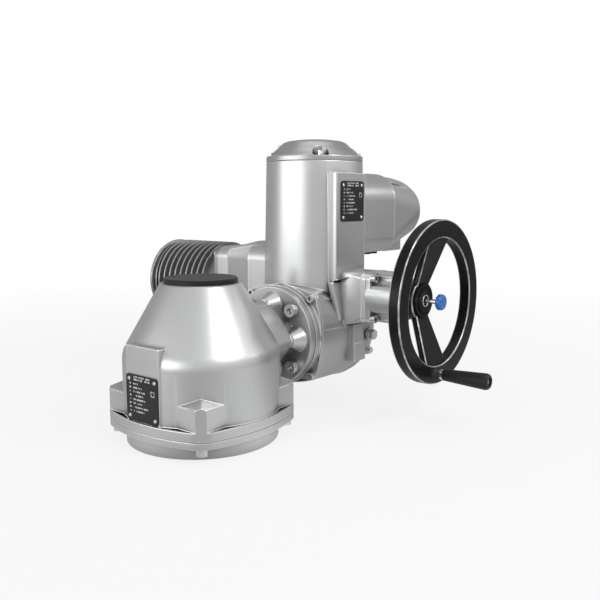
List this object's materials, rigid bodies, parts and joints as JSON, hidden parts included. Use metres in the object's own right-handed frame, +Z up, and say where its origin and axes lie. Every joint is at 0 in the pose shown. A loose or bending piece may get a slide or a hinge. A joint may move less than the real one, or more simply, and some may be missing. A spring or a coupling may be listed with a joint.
{
  "type": "electric valve actuator",
  "caption": "Electric multi-turn drive with handwheel, switch column, plug connector and finned motor, flanged to the side of a bevel gearbox that turns a valve stem.",
  "frame": {"origin": "centre of the valve mounting face, on the valve axis", "axes": "+Z up the valve axis, +Y along the drive's output shaft away from the gearbox, +X along the worm shaft towards the handwheel"},
  "size_m": [0.5431, 0.5415, 0.3495],
  "materials": {
    "cast_paint": "satin metallic silver-grey paint on a casting",
    "steel": "machined",
    "bright_steel": "plated",
    "bronze": "machined bronze",
    "black_plastic": "matt black",
    "handwheel_black": "satin black powder coat",
    "button_blue": "glossy blue",
    "plate_black": "printed black plate",
    "seal_rubber": "matt",
    "copper": "enamelled copper winding",
    "switch_plastic": "moulded",
    "gear_plastic": "moulded"
  },
  "bodies": {
    "frame_body": {"gearbox_housing": "cast_paint", "base_cover": "cast_paint", "base_cover_screws": "bright_steel", "pinion_bearings": "steel", "sleeve_bearings": "steel", "sleeve_seal": "seal_rubber", "stem_cap": "black_plastic", "gearbox_nameplate": "plate_black", "gearbox_rivets": "bright_steel", "joint_screws": "bright_steel", "output_flange": "cast_paint", "output_flange_screws": "bright_steel", "drive_housing": "cast_paint", "hollow_shaft_bearings": "steel", "rear_plug": "black_plastic", "worm_bearings": "steel", "worm_cover": "cast_paint", "worm_cover_screws": "bright_steel", "handwheel_bush": "bronze", "oil_plug": "bright_steel", "earth_terminal": "bright_steel", "column_cover": "cast_paint", "column_cover_screws": "bright_steel", "column_cover_seal": "seal_rubber", "drive_nameplate": "plate_black", "drive_rivets": "bright_steel", "switch_frame": "steel", "limit_switches": "switch_plastic", "torque_switches": "switch_plastic", "counter_gears": "gear_plastic", "plug_cover": "cast_paint", "plug_insert": "black_plastic", "plug_cover_screws": "bright_steel", "blanking_plugs": "black_plastic", "vent_plug": "bright_steel", "motor_housing": "cast_paint", "motor_end_cover": "cast_paint", "motor_screws": "bright_steel", "stator": "copper", "motor_bearings": "steel"},
    "worm_drive": {"worm_shaft": "steel", "coupling_sleeve": "steel", "clutch_sleeve": "steel", "rotor": "steel"},
    "drive_shaft": {"hollow_shaft": "steel", "shaft_key": "steel", "worm_wheel": "bronze", "bevel_pinion": "steel"},
    "output_drive": {"drive_sleeve": "steel", "crown_wheel": "steel"},
    "handwheel_body": {"handwheel": "handwheel_black", "handwheel_shaft": "steel", "hub_disc": "handwheel_black", "retaining_ring": "bright_steel", "grip_spindle": "bright_steel"},
    "button": {"push_rod": "bright_steel", "push_button": "button_blue"},
    "grip": {"crank_grip": "black_plastic"}
  },
  "joints": [
    {"name": "motor_turn", "type": "hinge", "parent": "frame_body", "child": "worm_drive", "pos_m": [0, 0.215, 0.148], "axis": [1, 0, 0], "continuous": true},
    {"name": "shaft_turn", "type": "hinge", "parent": "frame_body", "child": "drive_shaft", "pos_m": [0, 0.215, 0.0986], "axis": [0, 1, 0], "continuous": true},
    {"name": "output_turn", "type": "hinge", "parent": "frame_body", "child": "output_drive", "pos_m": [0, 0, 0.0986], "axis": [0, 0, 1], "continuous": true},
    {"name": "handwheel_turn", "type": "hinge", "parent": "frame_body", "child": "handwheel_body", "pos_m": [0.18, 0.215, 0.148], "axis": [1, 0, 0], "continuous": true},
    {"name": "button_press", "type": "slide", "parent": "handwheel_body", "child": "button", "axis": [-1, 0, 0], "range_m": [0, 0.006], "stiffness_N_per_m": 400},
    {"name": "grip_spin", "type": "hinge", "parent": "handwheel_body", "child": "grip", "pos_m": [0.22, 0.215, 0.0591], "axis": [1, 0, 0], "continuous": true}
  ],
  "couplings": [
    {"joint": "shaft_turn", "follows": "motor_turn", "ratio": -0.090909},
    {"joint": "output_turn", "follows": "motor_turn", "ratio": -0.045455}
  ]
}
